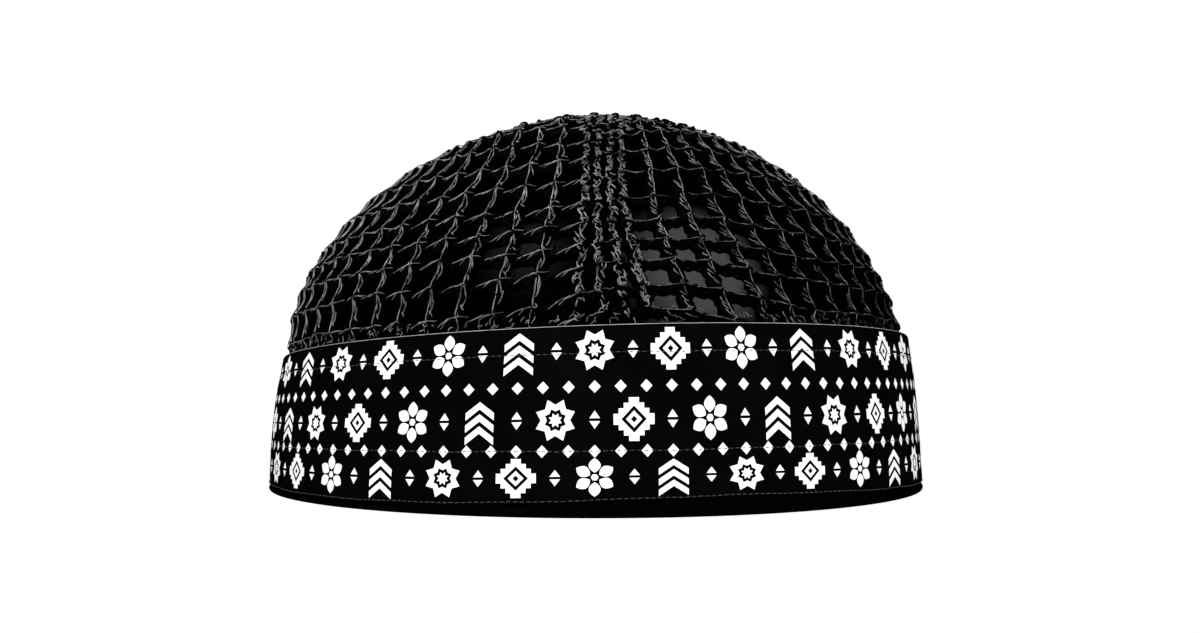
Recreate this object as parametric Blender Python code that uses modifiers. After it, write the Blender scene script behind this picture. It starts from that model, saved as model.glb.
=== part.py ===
"""A crocheted kufi: an open net crown over a smooth lining, on a cotton band with a turned lower edge.

Units are metres, +Z is up, and the rim rests on the plane z = 0 with its centre at the origin.
The front of the hat faces -Y and its right-hand side in a front view is +X.
"""

import math

import bmesh
import bpy

# Driving sizes of the hat as a whole
RIM_RADIUS = 0.0950
BAND_HEIGHT = 0.0387
BAND_TAPER = 0.0028
BAND_TAPER_POWER = 2.2
CROWN_HEIGHT = 0.0723
CROWN_POWER = 1.815

# Walls and the clearances between them
BAND_WALL = 0.0016
BAND_EDGE_ROUNDING = 0.0004
FACING_WALL = 0.0013
NET_WALL = 0.0022
LINING_WALL = 0.0010
CLEARANCE = 0.0003

# The facing and its turned lower edge
LIP_HEIGHT = 0.0012
LIP_EDGE_ROUNDING = 0.0005
FACING_HEIGHT = 0.0288

# The net: the edge that the band holds, its rows and columns of gaps, and the close round at the top
TUCK_DEPTH = 0.0092
EDGE_COURSE = 0.0026
NET_ROWS = 5
WIDE_ROWS = 1
FINE_COLUMNS = 26
STEPS_PER_COLUMN = 2
BAR_WIDTH = 0.0034
ROSETTE_RADIUS = 0.0220
ROSETTE_RINGS = 3
LINING_SEAM_ROW = 2
LINING_TOP_RINGS = 2

# Wales of the coarse net, three to a column, and the rib of closer wales at the front
WALES = 3 * FINE_COLUMNS
RIB_CENTRE = math.radians(1.5)
RIB_CLOSENESS = math.radians(2.3)
RIB_SPREAD = 2.0
RIB_EDGE_WALE = -1.5

# How the soft hat stands: the band's top is higher at the right and the front, and the crown sways
# to the left half way up and leans to the right at its top
RISE_RIGHT = 0.0032
RISE_FRONT = 0.0018
CROWN_LEAN = 0.0019
CROWN_LEAN_POWER = 4
CROWN_SWAY = 0.0018
CROWN_SWAY_POWER = 0.7
HEM_LIFT = 0.0022
HEM_LIFT_CENTRE = math.radians(18.0)
HEM_LIFT_WIDTH = math.radians(32.0)
HEM_LIFT_HEIGHT = 0.0120

STEPS = FINE_COLUMNS * STEPS_PER_COLUMN
CROWN_BASE_RADIUS = RIM_RADIUS - BAND_TAPER - BAND_WALL - CLEARANCE
BAND_BOTTOM = LIP_HEIGHT + CLEARANCE
BAND_LEVELS = 5
FACING_LEVELS = 3
CROWN_SAMPLES = 600
TANGENT_STEP = 0.0005
SHARP_ANGLE = math.radians(40)
MERGE_DISTANCE = 0.0001


def band_radius(height):
    """The band's outer radius at a height: nearly upright at the rim and leaning in at the top."""
    return RIM_RADIUS - BAND_TAPER * (height / BAND_HEIGHT) ** BAND_TAPER_POWER


def crown_samples():
    """The crown's outer profile above the band, a superellipse, as (arc length, radius, height)."""
    samples = [(0.0, CROWN_BASE_RADIUS, BAND_HEIGHT)]
    for i in range(1, CROWN_SAMPLES + 1):
        angle = math.pi / 2 * i / CROWN_SAMPLES
        radius = CROWN_BASE_RADIUS * max(math.cos(angle), 0.0) ** (2 / CROWN_POWER)
        height = BAND_HEIGHT + CROWN_HEIGHT * math.sin(angle) ** (2 / CROWN_POWER)
        arc, last_radius, last_height = samples[-1]
        samples.append((arc + math.hypot(radius - last_radius, height - last_height), radius, height))
    return samples


CROWN = crown_samples()
CROWN_ARC = CROWN[-1][0]


def crown_line(arc):
    """The crown's outer (radius, height) at an arc length above the band's top edge, or tucked below it."""
    if arc <= 0:
        height = BAND_HEIGHT + arc
        return band_radius(height) - BAND_WALL - CLEARANCE, height
    for low, high in zip(CROWN, CROWN[1:]):
        if arc <= high[0]:
            share = (arc - low[0]) / (high[0] - low[0])
            return low[1] + share * (high[1] - low[1]), low[2] + share * (high[2] - low[2])
    return CROWN[-1][1:]


def crown_layer(arc, depth):
    """The point at a depth below the crown's outer line, along the line's inward normal."""
    radius, height = crown_line(arc)
    if arc >= CROWN_ARC:
        return 0.0, height - depth
    before = crown_line(arc - TANGENT_STEP)
    after = crown_line(min(arc + TANGENT_STEP, CROWN_ARC))
    along_r, along_z = after[0] - before[0], after[1] - before[1]
    length = math.hypot(along_r, along_z)
    return max(radius - depth * along_z / length, 0.0), height + depth * along_r / length


def arc_at_radius(radius):
    """The arc length at which the crown's outer line has narrowed to a radius."""
    for low, high in zip(CROWN, CROWN[1:]):
        if high[1] <= radius:
            return low[0] + (low[1] - radius) / (low[1] - high[1]) * (high[0] - low[0])
    return CROWN_ARC


NET_END = arc_at_radius(ROSETTE_RADIUS + CLEARANCE)
ROW_ARC = (NET_END - EDGE_COURSE) / NET_ROWS
TUCK_ARCS = [-TUCK_DEPTH, -TUCK_DEPTH / 2, 0.0]
ROW_ARCS = [EDGE_COURSE + ROW_ARC * i / 2 for i in range(2 * NET_ROWS + 1)]


def wale_azimuth(wale):
    """The azimuth of a wale, counted from the middle of the front rib, where wales stand closer."""
    turns = math.floor(wale / WALES + 0.5)
    near = wale - turns * WALES
    pitch = (math.pi + RIB_CLOSENESS) / (WALES / 2)
    azimuth = RIB_CENTRE + pitch * near - RIB_CLOSENESS * math.tanh(near / RIB_SPREAD)
    return azimuth + turns * 2 * math.pi


def stand(point):
    """Takes a point of the plain turned hat to where it is on the soft hat as it stands."""
    radius = math.hypot(point.x, point.y)
    turn = math.atan2(point.y, point.x) / (2 * math.pi) % 1.0
    azimuth = wale_azimuth(RIB_EDGE_WALE + WALES * turn)
    height = point.z
    above = min(max((height - BAND_HEIGHT) / CROWN_HEIGHT, 0.0), 1.0)
    rise = RISE_RIGHT * math.sin(azimuth) + RISE_FRONT * math.cos(azimuth)
    share = height / BAND_HEIGHT if height < BAND_HEIGHT else 1 - above
    from_lift = math.remainder(azimuth - HEM_LIFT_CENTRE, 2 * math.pi) / HEM_LIFT_WIDTH
    if height < BAND_BOTTOM:
        hem_share = min(height / LIP_HEIGHT, 1.0)
    else:
        hem_share = max(1 - (height - BAND_BOTTOM) / (HEM_LIFT_HEIGHT - BAND_BOTTOM), 0.0)
    sway = CROWN_SWAY * math.sin(math.pi * above**CROWN_SWAY_POWER)
    point.x = radius * math.sin(azimuth) + CROWN_LEAN * above**CROWN_LEAN_POWER - sway
    point.y = -radius * math.cos(azimuth)
    point.z = height + rise * share + HEM_LIFT * math.exp(-(from_lift**2)) * hem_share


def material(name, colour, roughness):
    """A plain material of one colour, named as the record's slot."""
    made = bpy.data.materials.new(name)
    made.use_nodes = True
    shader = made.node_tree.nodes["Principled BSDF"]
    shader.inputs["Base Color"].default_value = (*colour, 1.0)
    shader.inputs["Roughness"].default_value = roughness
    shader.inputs["Metallic"].default_value = 0.0
    return made


def turned(name, profile, closed):
    """An object whose (radius, height) profile is turned about the Z axis by a Screw modifier."""
    mesh = bpy.data.meshes.new(name)
    ends = [(i, i + 1) for i in range(len(profile) - 1)]
    if closed:
        ends.append((len(profile) - 1, 0))
    mesh.from_pydata([(radius, 0.0, height) for radius, height in profile], ends, [])
    made = bpy.data.objects.new(name, mesh)
    hat.objects.link(made)
    screw = made.modifiers.new("turn", "SCREW")
    screw.steps = STEPS
    screw.render_steps = STEPS
    screw.use_merge_vertices = True
    screw.merge_threshold = MERGE_DISTANCE
    return made


def evaluated_mesh(piece):
    """A new mesh of what the piece's modifiers make."""
    graph = bpy.context.evaluated_depsgraph_get()
    return bpy.data.meshes.new_from_object(piece.evaluated_get(graph))


def finish(piece, finish_material):
    """Applies the modifiers, gives the mesh the hat's stance, and shades it."""
    mesh = evaluated_mesh(piece)
    piece.modifiers.clear()
    piece.data = mesh
    for vertex in mesh.vertices:
        stand(vertex.co)
    mesh.materials.clear()
    mesh.materials.append(finish_material)
    mesh.shade_smooth()
    mesh.set_sharp_from_angle(angle=SHARP_ANGLE)


def outer_to_inner(outer, inner):
    """A closed profile that runs down an outer line, given top to bottom, and back up an inner one."""
    return outer + inner[::-1]


def make_band(cotton):
    """The printed band, an upright cloth wall from just above the lip to the crown's base."""
    depth = BAND_HEIGHT - BAND_BOTTOM
    levels = [BAND_HEIGHT - depth * i / BAND_LEVELS for i in range(BAND_LEVELS + 1)]
    outer = [(band_radius(z), z) for z in levels]
    inner = [(band_radius(z) - BAND_WALL, z) for z in levels]
    outer[0] = (outer[0][0] - BAND_EDGE_ROUNDING, outer[0][1])
    finish(turned("band", outer_to_inner(outer, inner), True), cotton)


def make_facing(cotton):
    """The plain facing inside the band, whose lower edge turns out under the band as a lip."""
    inset = BAND_WALL + CLEARANCE
    depth = FACING_HEIGHT - LIP_HEIGHT
    levels = [FACING_HEIGHT - depth * i / FACING_LEVELS for i in range(FACING_LEVELS + 1)]
    outer = [(band_radius(z) - inset, z) for z in levels]
    outer += [
        (band_radius(LIP_HEIGHT), LIP_HEIGHT),
        (RIM_RADIUS, LIP_EDGE_ROUNDING),
        (RIM_RADIUS - LIP_EDGE_ROUNDING, 0.0),
    ]
    inner = [(band_radius(z) - inset - FACING_WALL, z) for z in levels[:-1] + [0.0]]
    finish(turned("band_facing", outer_to_inner(outer, inner), True), cotton)


def make_lining_piece(name, arcs, closed, satin):
    """One thin wall of the lining, through the given arc lengths from the top down."""
    outer_depth = NET_WALL + CLEARANCE
    outer = [crown_layer(arc, outer_depth) for arc in arcs]
    inner = [crown_layer(arc, outer_depth + LINING_WALL) for arc in arcs]
    finish(turned(name, outer_to_inner(outer, inner), closed), satin)


def make_lining(satin):
    """The smooth inner cap that shows through the net: a side wall with an open mouth, and a round top."""
    seam = ROW_ARCS[2 * LINING_SEAM_ROW]
    rows_below = ROW_ARCS[: 2 * LINING_SEAM_ROW : 2]
    rows_above = ROW_ARCS[2 * LINING_SEAM_ROW + 2 :: 2]
    top = [NET_END + (CROWN_ARC - NET_END) * i / LINING_TOP_RINGS for i in range(1, LINING_TOP_RINGS + 1)]
    wall_arcs = TUCK_ARCS[::2] + rows_below + [seam - CLEARANCE / 2]
    top_arcs = [seam + CLEARANCE / 2] + rows_above + top
    make_lining_piece("lining_wall", wall_arcs[::-1], True, satin)
    make_lining_piece("lining_top", top_arcs[::-1], False, satin)


def make_rosette(yarn):
    """The closely crocheted round at the top of the crown, which closes the net."""
    start = arc_at_radius(ROSETTE_RADIUS)
    arcs = [CROWN_ARC - (CROWN_ARC - start) * i / ROSETTE_RINGS for i in range(ROSETTE_RINGS + 1)]
    outer = [crown_layer(arc, 0.0) for arc in arcs]
    inner = [crown_layer(arc, NET_WALL) for arc in arcs]
    finish(turned("crown_rosette", outer_to_inner(outer, inner), False), yarn)


def gap_groups(faces, row_heights):
    """Faces of the turned net gathered by the gap that each belongs to, leaving out what stays closed."""
    groups = {}
    for face in faces:
        middle = face.calc_center_median()
        level = sum(middle.z > height for height in row_heights) - 1
        if level < 0:
            continue
        row = level // 2
        turn = math.atan2(middle.y, middle.x) / (2 * math.pi) % 1.0
        column = int(turn * FINE_COLUMNS)
        in_rib = column == 0
        if row >= NET_ROWS - WIDE_ROWS:
            column //= 2
        if not in_rib:
            groups.setdefault((row, column), []).append(face)
    return groups.values()


def make_net(yarn):
    """The net crown: bars left between rows of gaps, a close edge in the band, and the closed front rib."""
    arcs = (TUCK_ARCS + ROW_ARCS)[::-1]
    net = turned("crown_net", [crown_line(arc) for arc in arcs], False)
    mesh = evaluated_mesh(net)
    net.modifiers.clear()
    net.data = mesh
    work = bmesh.new()
    work.from_mesh(mesh)
    gaps = []
    for faces in gap_groups(list(work.faces), [crown_line(arc)[1] for arc in ROW_ARCS]):
        gaps += bmesh.ops.dissolve_faces(work, faces=faces, use_verts=False)["region"]
    bmesh.ops.inset_individual(work, faces=gaps, thickness=BAR_WIDTH / 2, use_even_offset=True)
    bmesh.ops.delete(work, geom=gaps, context="FACES")
    work.to_mesh(mesh)
    work.free()
    wall = net.modifiers.new("wall", "SOLIDIFY")
    wall.thickness = NET_WALL
    wall.offset = -1.0
    wall.use_even_offset = True
    finish(net, yarn)


for old in list(bpy.data.objects):
    bpy.data.objects.remove(old)
hat = bpy.data.collections.new("kufi")
bpy.context.scene.collection.children.link(hat)

printed_cotton = material("printed_cotton", (0.012, 0.012, 0.013), 0.85)
plain_cotton = material("plain_cotton", (0.008, 0.008, 0.009), 0.9)
crochet_yarn = material("crochet_yarn", (0.020, 0.020, 0.022), 0.6)
lining_satin = material("lining_satin", (0.006, 0.006, 0.007), 0.35)

make_band(printed_cotton)
make_facing(plain_cotton)
make_net(crochet_yarn)
make_rosette(crochet_yarn)
make_lining(lining_satin)
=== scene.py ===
"""The look of the crocheted kufi: printed cotton band, open net crown, smooth lining, floor and light.

Units are metres. The hat's front faces -Y, and an azimuth is counted from the front towards +X.
"""

from math import cos, hypot, pi, radians, sin

import bmesh
import bpy
import numpy as np
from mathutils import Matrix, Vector


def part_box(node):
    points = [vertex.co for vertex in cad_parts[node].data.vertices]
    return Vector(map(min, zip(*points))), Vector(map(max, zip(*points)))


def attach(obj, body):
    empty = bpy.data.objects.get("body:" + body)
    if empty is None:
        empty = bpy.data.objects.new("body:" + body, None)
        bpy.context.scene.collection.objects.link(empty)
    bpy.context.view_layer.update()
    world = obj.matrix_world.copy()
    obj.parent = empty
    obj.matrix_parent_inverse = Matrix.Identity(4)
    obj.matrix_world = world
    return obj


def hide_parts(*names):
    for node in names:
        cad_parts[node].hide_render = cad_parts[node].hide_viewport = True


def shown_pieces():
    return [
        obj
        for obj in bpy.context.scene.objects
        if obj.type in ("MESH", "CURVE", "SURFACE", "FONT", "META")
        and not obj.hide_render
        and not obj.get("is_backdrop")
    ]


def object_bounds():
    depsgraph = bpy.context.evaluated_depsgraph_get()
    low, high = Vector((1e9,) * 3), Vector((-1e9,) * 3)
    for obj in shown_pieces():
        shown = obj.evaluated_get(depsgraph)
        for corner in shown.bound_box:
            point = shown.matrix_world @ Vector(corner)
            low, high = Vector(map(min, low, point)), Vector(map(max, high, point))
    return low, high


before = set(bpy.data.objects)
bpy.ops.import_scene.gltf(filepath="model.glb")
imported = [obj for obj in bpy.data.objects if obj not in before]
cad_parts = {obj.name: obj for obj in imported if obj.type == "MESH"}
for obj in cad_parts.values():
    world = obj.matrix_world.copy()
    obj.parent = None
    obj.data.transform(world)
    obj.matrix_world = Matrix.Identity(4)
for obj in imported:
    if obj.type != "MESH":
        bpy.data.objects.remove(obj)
cad_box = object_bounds()

MM = 0.001
TAU = 2 * pi
SEED = 7
random = np.random.default_rng(SEED)

# The hat's sizes, read from the frame where it has them
RIM_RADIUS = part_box("band_facing")[1].x
BAND_TAPER = 2.8 * MM
BAND_TAPER_POWER = 2.2
BAND_WALL = 1.6 * MM
FACING_WALL = 1.3 * MM
NET_WALL = 2.2 * MM
LINING_WALL = 1 * MM
CLEARANCE = 0.3 * MM
CROWN_POWER = 1.815
LIP_HEIGHT = 1.2 * MM
FACING_HEIGHT = 28.8 * MM
TUCK_DEPTH = 9.2 * MM
ROSETTE_RADIUS = 22 * MM

# How the soft hat stands, as its solids do
RISE_RIGHT = 3.2 * MM
RISE_FRONT = 1.8 * MM
CROWN_LEAN = 1.9 * MM
CROWN_LEAN_POWER = 4
CROWN_SWAY = 1.8 * MM
CROWN_SWAY_POWER = 0.7
HEM_LIFT = 2.2 * MM
HEM_LIFT_CENTRE = radians(18)
HEM_LIFT_WIDTH = radians(32)
HEM_LIFT_HEIGHT = 12 * MM
BAND_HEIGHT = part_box("band")[1].z - hypot(RISE_RIGHT, RISE_FRONT)
CROWN_HEIGHT = cad_box[1].z - BAND_HEIGHT
CROWN_BASE_RADIUS = RIM_RADIUS - BAND_TAPER - BAND_WALL - CLEARANCE
BAND_BOTTOM = LIP_HEIGHT + CLEARANCE

# The wales of the crochet: four stand close in a rib at the front, which narrows upwards
WALES = 68
RIB_HALF = 1.5
RIB_CENTRE = radians(2.75)
RIB_PITCH = radians(3)
RIB_NARROWING = radians(0.026) / MM
RIB_GAP = 2.9 * MM
# Low wales slant away from the rib: how far, up to which arc length, round which azimuth and how widely
WALE_SLANTS = [
    (radians(2.4), 26 * MM, radians(22), radians(16)),
    (radians(-2.3), 17 * MM, radians(-15), radians(11)),
]

# High wales spread away from the rib, more on its left
SPREAD_START = 55 * MM
SPREAD_END = 92 * MM
SPREAD_LEFT = 0.021 / MM
SPREAD_RIGHT = 0.008 / MM

# The rounds of the crochet, as arc lengths above the band. Low ones rise at the front and keep a level
# right of the rib, higher ones climb to the right, and the highest dip at the rib. A window is a start,
# a growth, an end and a fade
FINE_ROUNDS = np.array([-1.9, 3.1, 10.6, 17.2, 23.9, 31.9, 42.1, 52.4, 65.2, 78.0]) * MM
WIDE_ROUNDS = np.array([89.0, 96.5, 103.0]) * MM
FRONT_RISE = 6.2 * MM
FRONT_RISE_END = 36 * MM
FRONT_RISE_CENTRE = radians(8)
FRONT_RISE_WIDTH = radians(15)
ROUND_CLIMB = 0.11
CLIMB_CENTRE = radians(4)
CLIMB_TURN = 0.25
CLIMB_WINDOW = (12 * MM, 30 * MM, 65 * MM, 33 * MM)
TOP_DIP = 4.6 * MM
TOP_DIP_START = 48 * MM
TOP_DIP_LENGTH = 22 * MM
TOP_DIP_WIDTH = radians(12)
LEVEL_LIFT = 2.5 * MM
LEVEL_CENTRE = radians(20.5)
LEVEL_WIDTH = radians(8.5)
LEVEL_WINDOW = (0.0, 4 * MM, 26 * MM, 20 * MM)

# Slow waves of the band's cloth: size in millimetres, waves round the hat, start, and turn up the band
CLOTH_WAVES = [(0.16, 3, 0.7, 0), (0.12, 7, 2.1, 2), (0.07, 13, 0.4, -3)]
# Stitch lines pull the cloth in: where they are, how far and how unevenly, and how wide the pull is
STITCH_LEVELS = [32.8 * MM, 13.2 * MM, 2.2 * MM]
PULL = 0.10
PULL_CHANGE = 0.45
PULLS_ROUND = 61
PULL_SHIFT = 90
PULL_WIDTH = 0.7 * MM

TUCK_SAMPLES = 60
CROWN_SAMPLES = 3000


def unit(vectors):
    return vectors / np.maximum(np.linalg.norm(vectors, axis=-1, keepdims=True), 1e-12)


def smooth_step(value):
    value = np.clip(value, 0, 1)
    return value * value * (3 - 2 * value)


def window(value, start, growth, end, fade):
    """One between two places: it grows smoothly after the start and fades after the end."""
    return smooth_step((value - start) / growth) * (1 - smooth_step((value - end) / fade))


def angle_from(azimuth, centre):
    """How far an azimuth is from a centre, between minus and plus half a turn."""
    return np.mod(azimuth - centre + pi, TAU) - pi


def bell(value, width):
    return np.exp(-((value / width) ** 2))


def band_radius(height):
    """The band's outer radius at a height, nearly upright below and leaning in above."""
    return RIM_RADIUS - BAND_TAPER * (np.maximum(height, 0) / BAND_HEIGHT) ** BAND_TAPER_POWER


def crown_profile():
    """The crown's outer line from the tucked edge to the top: arc lengths, radii and heights."""
    tucked = np.linspace(-TUCK_DEPTH, 0, TUCK_SAMPLES)[:-1]
    angle = np.linspace(0, pi / 2, CROWN_SAMPLES)
    radius = CROWN_BASE_RADIUS * np.cos(angle).clip(0) ** (2 / CROWN_POWER)
    height = BAND_HEIGHT + CROWN_HEIGHT * np.sin(angle) ** (2 / CROWN_POWER)
    arc = np.concatenate([[0], np.cumsum(np.hypot(np.diff(radius), np.diff(height)))])
    tucked_height = BAND_HEIGHT + tucked
    tucked_radius = band_radius(tucked_height) - BAND_WALL - CLEARANCE
    arcs = np.concatenate([tucked, arc])
    return arcs, np.concatenate([tucked_radius, radius]), np.concatenate([tucked_height, height])


ARCS, RADII, HEIGHTS = crown_profile()
SLOPES = unit(np.stack([np.gradient(RADII), np.gradient(HEIGHTS)], axis=-1))
CROWN_ARC = ARCS[-1]


def stand(radius, height, azimuth):
    """Where points of the plain turned hat are on the soft hat as it stands."""
    above = np.clip((height - BAND_HEIGHT) / CROWN_HEIGHT, 0, 1)
    rise = RISE_RIGHT * np.sin(azimuth) + RISE_FRONT * np.cos(azimuth)
    share = np.where(height < BAND_HEIGHT, height / BAND_HEIGHT, 1 - above)
    lifted = HEM_LIFT * bell(angle_from(azimuth, HEM_LIFT_CENTRE), HEM_LIFT_WIDTH)
    in_lip = np.clip(height / LIP_HEIGHT, 0, 1)
    in_band = np.clip(1 - (height - BAND_BOTTOM) / (HEM_LIFT_HEIGHT - BAND_BOTTOM), 0, 1)
    sway = CROWN_SWAY * np.sin(pi * above**CROWN_SWAY_POWER)
    x = radius * np.sin(azimuth) + CROWN_LEAN * above**CROWN_LEAN_POWER - sway
    y = -radius * np.cos(azimuth)
    z = height + rise * share + lifted * np.where(height < BAND_BOTTOM, in_lip, in_band)
    return np.stack([x, y, z], axis=-1)


def crown_radius(arc):
    return np.interp(arc, ARCS, RADII)


def crown_slope(arc):
    """How much the crown goes outward and upward along its line."""
    return np.interp(arc, ARCS, SLOPES[:, 0]), np.interp(arc, ARCS, SLOPES[:, 1])


def on_crown(arc, azimuth, out):
    """Points on the crown: an arc length above the band, an azimuth, and a height off the outer line."""
    outward, upward = crown_slope(arc)
    height = np.interp(arc, ARCS, HEIGHTS) - out * outward
    return stand(np.maximum(crown_radius(arc) + out * upward, 0), height, azimuth)


def crown_out(arc, azimuth):
    outward, upward = crown_slope(arc)
    return np.stack([upward * np.sin(azimuth), -upward * np.cos(azimuth), -outward], axis=-1)


def cloth_wave(azimuth, height):
    """How far the band's cloth stands off its plain form: slow waves and the pull of the stitch lines."""
    share = np.clip(height / BAND_HEIGHT, 0, 1)
    slow = 0
    for size, waves, start, turn in CLOTH_WAVES:
        slow = slow + size * np.sin(waves * azimuth + start + turn * share)
    wave = slow * np.sin(pi * share)
    for level in STITCH_LEVELS:
        uneven = 1 + PULL_CHANGE * np.sin(PULLS_ROUND * azimuth + PULL_SHIFT * level / BAND_HEIGHT)
        wave = wave - PULL * uneven * bell(height - level, PULL_WIDTH)
    return wave * MM


def on_band(azimuth, height, out):
    return stand(band_radius(height) + cloth_wave(azimuth, height) + out, height, azimuth)


def rib_pitch(arc):
    """The angle between the wales of the rib, which keep a least distance towards the top."""
    least = RIB_GAP / np.maximum(crown_radius(arc), ROSETTE_RADIUS)
    return np.maximum(RIB_PITCH - RIB_NARROWING * arc, least)


def wale_azimuth(wale, arc):
    """The azimuth of a wale at an arc length, counted from the middle of the front rib."""
    near = wale - np.floor(wale / WALES + 0.5) * WALES
    turns = (wale - near) / WALES
    close = rib_pitch(arc)
    pitch = (pi - RIB_HALF * close) / (WALES / 2 - RIB_HALF)
    inside = np.clip(near, -RIB_HALF, RIB_HALF)
    outer = (near - inside) * pitch
    above = np.clip(arc, SPREAD_START, SPREAD_END) - SPREAD_START
    spread_out = np.where(near < 0, SPREAD_LEFT, SPREAD_RIGHT) * above
    outer = outer + spread_out * np.sin(outer) * (1 + np.cos(outer)) / 2
    azimuth = RIB_CENTRE + inside * close + outer
    slanted = azimuth
    for slant, top, centre, width in WALE_SLANTS:
        slanted = slanted + slant * np.clip(1 - arc / top, 0, 1) * bell(angle_from(azimuth, centre), width)
    return slanted + turns * TAU


def round_arc(plain, azimuth):
    from_rise = angle_from(azimuth, FRONT_RISE_CENTRE)
    rise = FRONT_RISE * np.clip(1 - plain / FRONT_RISE_END, 0, 1) * bell(from_rise, FRONT_RISE_WIDTH)
    side = np.tanh(np.sin(azimuth - CLIMB_CENTRE) / CLIMB_TURN) * (1 + np.cos(azimuth)) / 2
    grown = window(plain, *CLIMB_WINDOW)
    dip = TOP_DIP * smooth_step((plain - TOP_DIP_START) / TOP_DIP_LENGTH)
    dip = dip * bell(angle_from(azimuth, RIB_CENTRE), TOP_DIP_WIDTH)
    level = LEVEL_LIFT * window(plain, *LEVEL_WINDOW)
    level = level * bell(angle_from(azimuth, LEVEL_CENTRE), LEVEL_WIDTH)
    return plain + rise + level + ROUND_CLIMB * plain * side * grown - dip


# Meshes

def new_object(name, data):
    made = bpy.data.objects.new(name, data)
    bpy.context.scene.collection.objects.link(made)
    return made


def mesh_object(name, points, groups, uv=None):
    """An object from an array of points and arrays of faces, each with equally many corners."""
    mesh = bpy.data.meshes.new(name)
    mesh.from_pydata(points.reshape(-1, 3), [], sum([group.tolist() for group in groups], []))
    if uv is not None:
        corners = np.concatenate([group.reshape(-1) for group in groups])
        mesh.uv_layers.new(name="cloth").data.foreach_set("uv", uv.reshape(-1, 2)[corners].reshape(-1))
    mesh.validate()
    mesh.shade_smooth()
    return new_object(name, mesh)


def grid_faces(rows, columns, closed=True):
    """Four-cornered faces of rows of points. Each row is a loop, and the last may join the first."""
    row, column = np.meshgrid(np.arange(rows if closed else rows - 1), np.arange(columns), indexing="ij")
    next_row = (row + 1) % rows
    next_column = (column + 1) % columns
    corners = [row * columns + column, row * columns + next_column]
    corners += [next_row * columns + next_column, next_row * columns + column]
    return np.stack(corners, axis=-1).reshape(-1, 4)


def tubes(lines, ups, radius, sides, closed):
    """Points and faces of round strands along lines, given as strands by points by 3."""
    if closed:
        along = np.roll(lines, -1, axis=1) - np.roll(lines, 1, axis=1)
    else:
        along = np.gradient(lines, axis=1)
    along = unit(along)
    side = unit(np.cross(along, ups))
    out = np.cross(side, along)
    angle = np.arange(sides) * TAU / sides
    ring = np.cos(angle)[:, None] * out[:, :, None, :] + np.sin(angle)[:, None] * side[:, :, None, :]
    thick = np.broadcast_to(np.asarray(radius, float), lines.shape[:2])[:, :, None, None]
    points = lines[:, :, None, :] + ring * thick
    strands, count = lines.shape[:2]
    starts = (np.arange(strands) * count * sides)[:, None, None]
    groups = [(grid_faces(count, sides, closed)[None] + starts).reshape(-1, 4)]
    if not closed:
        first = np.arange(sides)[::-1]
        last = (count - 1) * sides + np.arange(sides)
        groups.append((np.stack([first, last])[None] + starts).reshape(-1, sides))
    return points.reshape(-1, 3), groups


def joined(name, parts):
    """One object of several parts, each with its points and its arrays of faces."""
    groups, start = {}, 0
    for points, faces in parts:
        for group in faces:
            groups.setdefault(group.shape[1], []).append(group + start)
        start += len(points)
    faces = [np.concatenate(group) for group in groups.values()]
    return mesh_object(name, np.concatenate([points for points, faces in parts]), faces)


def strand_object(name, bundles):
    """One object of several bundles of strands, each given as the arguments of tubes."""
    return joined(name, [tubes(*bundle) for bundle in bundles])


def all_round(steps):
    return np.linspace(0, TAU, steps, endpoint=False)[None]


def dress(piece, look, slot, *nodes):
    """Gives a piece its look, lets it ride on the hat, and says which solids it stands for."""
    piece.data.materials.append(looks[look])
    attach(piece, "root")
    if nodes:
        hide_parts(*nodes)


def crochet(name, bundles, look, *nodes):
    dress(strand_object(name, bundles), look, "crochet_yarn", *nodes)


# Materials. Texture scales are in waves or patches per metre

RAMP_START = 0.35
RAMP_END = 0.7
WEAVE_HEIGHT = 0.08 * MM
CLOTH_PATCHES = 60.0
CLOTH_DETAIL = 4.0
YARN_FIBRES = 2600.0
YARN_PATCHES = 520.0
YARN_DETAIL = 3.0
FIBRE_BUMP = 0.8
FIBRE_HEIGHT = 0.15 * MM


def set_inputs(node, values):
    for name, value in values.items():
        node.inputs[name].default_value = value


def new_material(name, roughness, specular):
    material = bpy.data.materials.new(name)
    material.use_nodes = True
    tree = material.node_tree
    shader = tree.nodes["Principled BSDF"]
    set_inputs(shader, {"Roughness": roughness, "Specular IOR Level": specular})
    return material, tree.nodes, tree.links, shader


def noise_texture(nodes, links, place, scale, detail):
    noise = nodes.new("ShaderNodeTexNoise")
    set_inputs(noise, {"Scale": scale, "Detail": detail})
    links.new(place, noise.inputs["Vector"])
    return noise.outputs["Fac"]


def varied(nodes, links, place, scale, detail, dark, light, shader):
    """Lets the colour go from dark to light with soft noise."""
    ramp = nodes.new("ShaderNodeValToRGB")
    for element, position, colour in zip(ramp.color_ramp.elements, (RAMP_START, RAMP_END), (dark, light)):
        element.position = position
        element.color = (*colour, 1.0)
    links.new(noise_texture(nodes, links, place, scale, detail), ramp.inputs["Fac"])
    links.new(ramp.outputs["Color"], shader.inputs["Base Color"])


def raised(nodes, links, height, strength, distance, shader):
    """Lets a value stand out of the surface as a bump."""
    bump = nodes.new("ShaderNodeBump")
    set_inputs(bump, {"Strength": strength, "Distance": distance})
    links.new(height, bump.inputs["Height"])
    links.new(bump.outputs["Normal"], shader.inputs["Normal"])


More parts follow.
